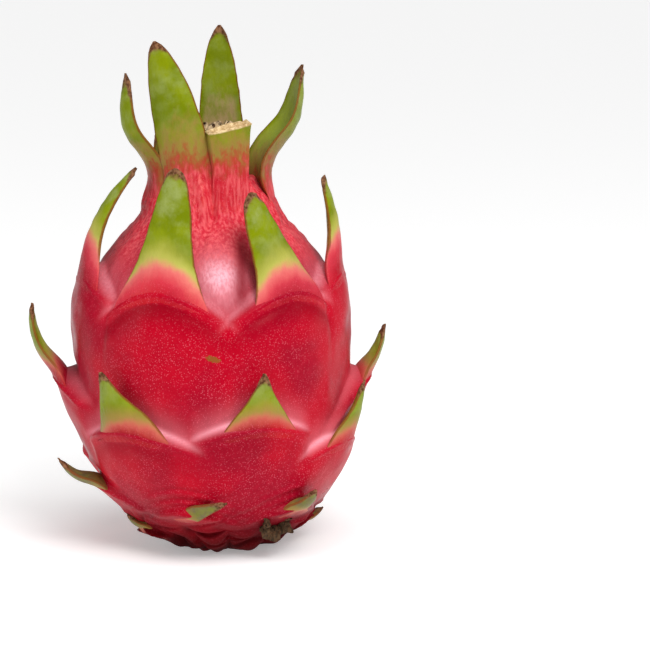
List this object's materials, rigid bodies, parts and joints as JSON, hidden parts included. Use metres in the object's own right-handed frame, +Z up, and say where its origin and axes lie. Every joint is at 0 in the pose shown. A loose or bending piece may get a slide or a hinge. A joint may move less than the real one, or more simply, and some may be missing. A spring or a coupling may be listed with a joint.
{
  "type": "dragon fruit",
  "caption": "Whole ripe dragon fruit standing on its base: red swollen skin with green leaf-like scales that curl up round it into a crown, one crown scale cut short.",
  "frame": {"origin": "centre of the small flat spot that the fruit stands on", "axes": "+Z up along the fruit towards its crown, -Y to the front face, +X to the fruit's right as seen from the front"},
  "size_m": [0.1059, 0.0913, 0.158],
  "materials": {
    "skin": "waxy semi-gloss, crimson with fine pale speckles",
    "scale": "waxy satin, green with pink root, thin red-brown rim and dry brown tip",
    "dried": "matt, dry, fibrous brown"
  },
  "bodies": {
    "root": {"fruit_body": "skin", "cut_scale": "scale", "crown_scale_front_left": "scale", "crown_scale_left": "scale", "crown_scale_back_left": "scale", "crown_scale_back": "scale", "crown_scale_right": "scale", "upper_scale_left": "scale", "upper_scale_front_left": "scale", "upper_scale_front_right": "scale", "upper_scale_right": "scale", "upper_scale_back_right": "scale", "upper_scale_back_left": "scale", "middle_scale_left": "scale", "middle_scale_right": "scale", "middle_scale_back_right": "scale", "middle_scale_back_left": "scale", "lower_scale_front_left": "scale", "lower_scale_front_right": "scale", "lower_scale_right": "scale", "lower_scale_back_right": "scale", "lower_scale_back": "scale", "lower_scale_back_left": "scale", "base_scale_left": "scale", "base_scale_front": "scale", "base_scale_front_right": "scale", "base_scale_back_right": "scale", "base_scale_back_left": "scale", "base_scale_low_left": "scale", "base_scale_low_back": "scale", "dried_flower": "dried", "stem_stub": "dried"}
  },
  "joints": []
}
